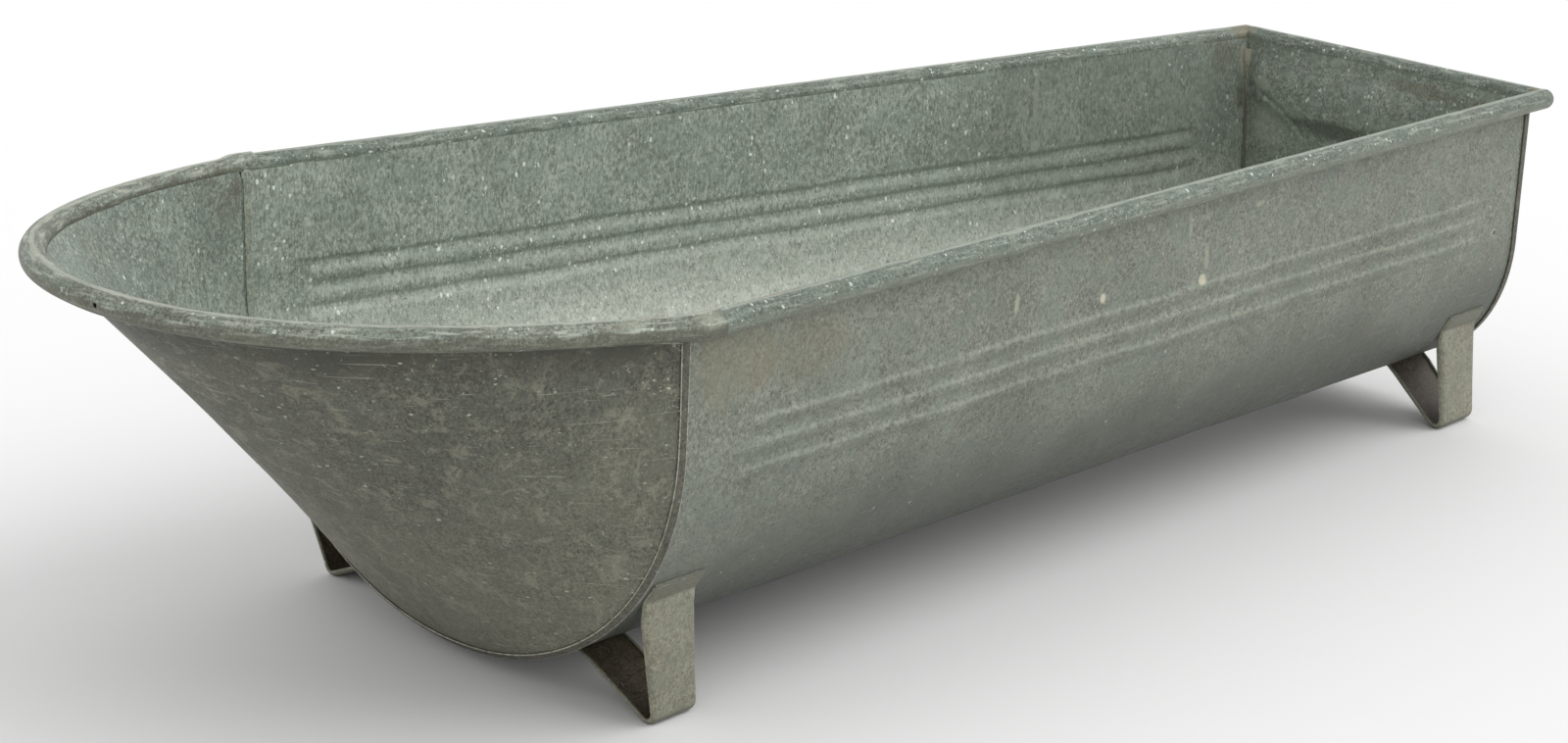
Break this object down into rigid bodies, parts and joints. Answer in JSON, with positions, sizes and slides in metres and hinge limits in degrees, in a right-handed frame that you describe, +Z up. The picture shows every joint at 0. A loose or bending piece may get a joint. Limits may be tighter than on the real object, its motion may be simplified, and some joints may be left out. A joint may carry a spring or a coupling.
{
  "type": "livestock water trough",
  "caption": "Free-standing galvanised steel water trough with a rounded scoop end, a square end, rolled rims and bent strap feet.",
  "frame": {"origin": "on the ground under the middle of the overall length and width", "axes": "+Z up, +X along the trough towards the square end, +Y to the left"},
  "size_m": [1.8921, 0.7524, 0.4614],
  "materials": {
    "galvanised_sheet": "weathered hot-dip galvanised, grey-green with pale spangle",
    "dark_sheet": "weathered hot-dip galvanised, dark brown-grey with scratches",
    "rim": "worn galvanised, paler along the top",
    "strap": "weathered galvanised strap, slightly rusty",
    "solder": "dull solder and zinc"
  },
  "bodies": {
    "root": {"body_sheet": "galvanised_sheet", "scoop_sheet": "dark_sheet", "square_end_panel": "galvanised_sheet", "scoop_rim_roll": "rim", "square_end_rim_roll": "rim", "scoop_seam_fold": "dark_sheet", "scoop_seam_inner_lap": "galvanised_sheet", "square_end_seam_fold": "dark_sheet", "square_end_solder_fillet": "solder", "side_rim_roll_left": "rim", "rim_end_cap_left": "rim", "foot_strap_scoop_left": "strap", "foot_strap_scoop_left_flange_solder": "solder", "foot_strap_scoop_left_tab_solder": "solder", "foot_strap_square_left": "strap", "foot_strap_square_left_flange_solder": "solder", "foot_strap_square_left_tab_solder": "solder", "side_rim_roll_right": "rim", "rim_end_cap_right": "rim", "foot_strap_scoop_right": "strap", "foot_strap_scoop_right_flange_solder": "solder", "foot_strap_scoop_right_tab_solder": "solder", "foot_strap_square_right": "strap", "foot_strap_square_right_flange_solder": "solder", "foot_strap_square_right_tab_solder": "solder"}
  },
  "joints": []
}
